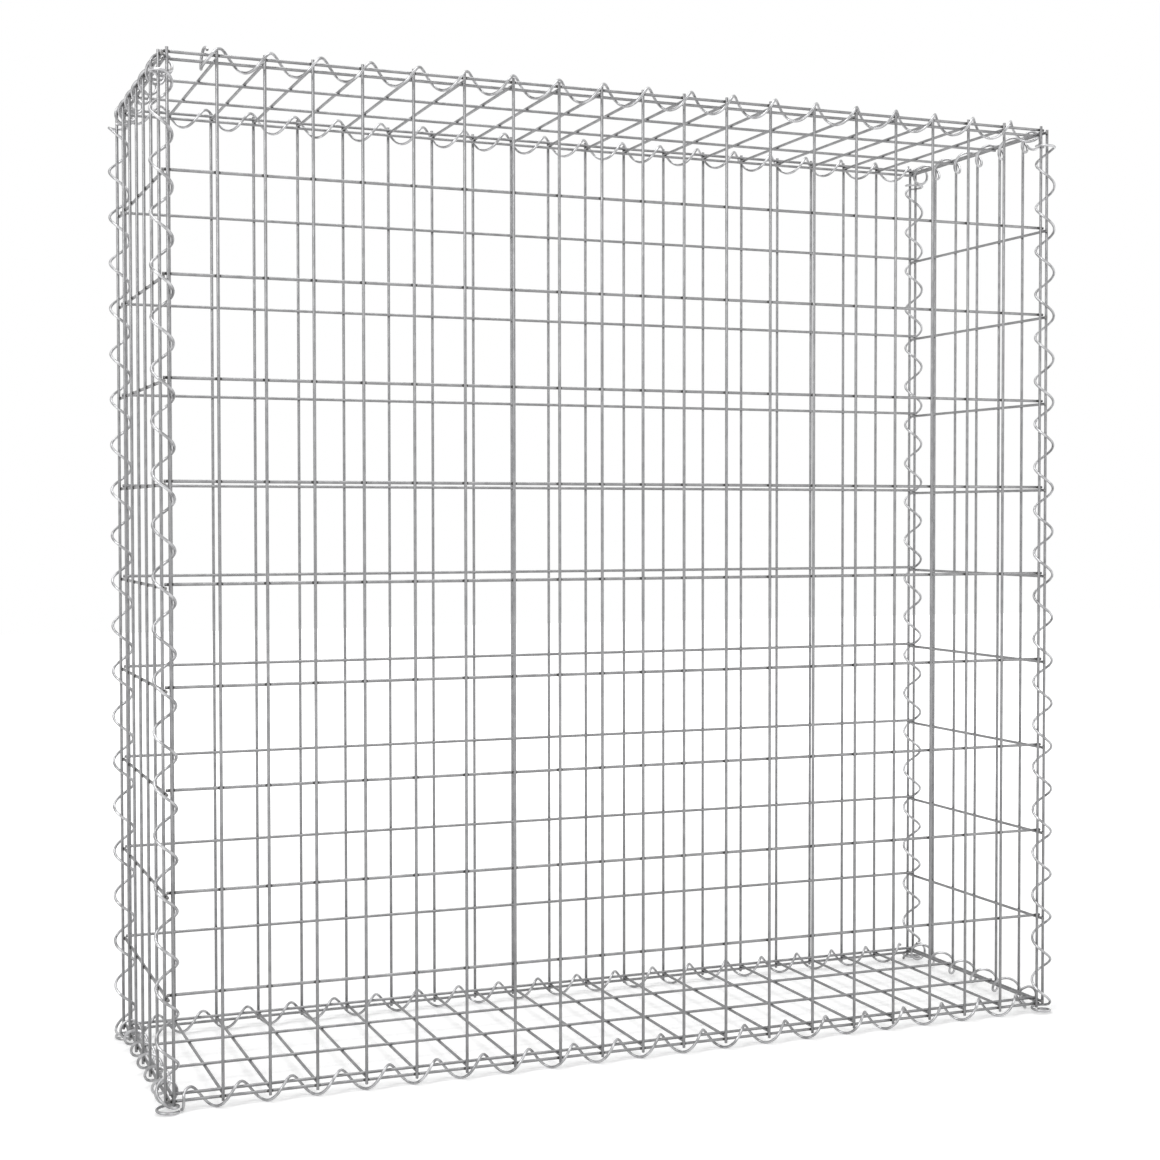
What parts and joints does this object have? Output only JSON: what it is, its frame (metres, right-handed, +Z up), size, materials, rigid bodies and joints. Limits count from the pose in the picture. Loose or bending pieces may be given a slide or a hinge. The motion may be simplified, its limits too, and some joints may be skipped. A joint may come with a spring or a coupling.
{
  "type": "gabion basket",
  "caption": "Tall, shallow welded wire mesh box for stone fill, with a lid, laced along every edge by spiral wire binders.",
  "frame": {"origin": "on the ground under the middle of the basket, at the lowest point of the bottom spiral binders", "axes": "+X along the long side to the right as seen from the front, +Y from front to back, +Z up"},
  "size_m": [1.0284, 0.3246, 1.0384],
  "materials": {
    "mesh_wire": "dull galvanised zinc coating",
    "spiral_wire": "brighter galvanised zinc coating"
  },
  "bodies": {
    "root": {"front_panel": "mesh_wire", "back_panel": "mesh_wire", "left_panel": "mesh_wire", "right_panel": "mesh_wire", "base_panel": "mesh_wire", "lid_panel": "mesh_wire", "spiral_front_left": "spiral_wire", "spiral_front_right": "spiral_wire", "spiral_back_left": "spiral_wire", "spiral_back_right": "spiral_wire", "spiral_bottom_front": "spiral_wire", "spiral_bottom_back": "spiral_wire", "spiral_bottom_left": "spiral_wire", "spiral_bottom_right": "spiral_wire", "spiral_top_front": "spiral_wire", "spiral_top_back": "spiral_wire", "spiral_top_left": "spiral_wire", "spiral_top_right": "spiral_wire"}
  },
  "joints": []
}
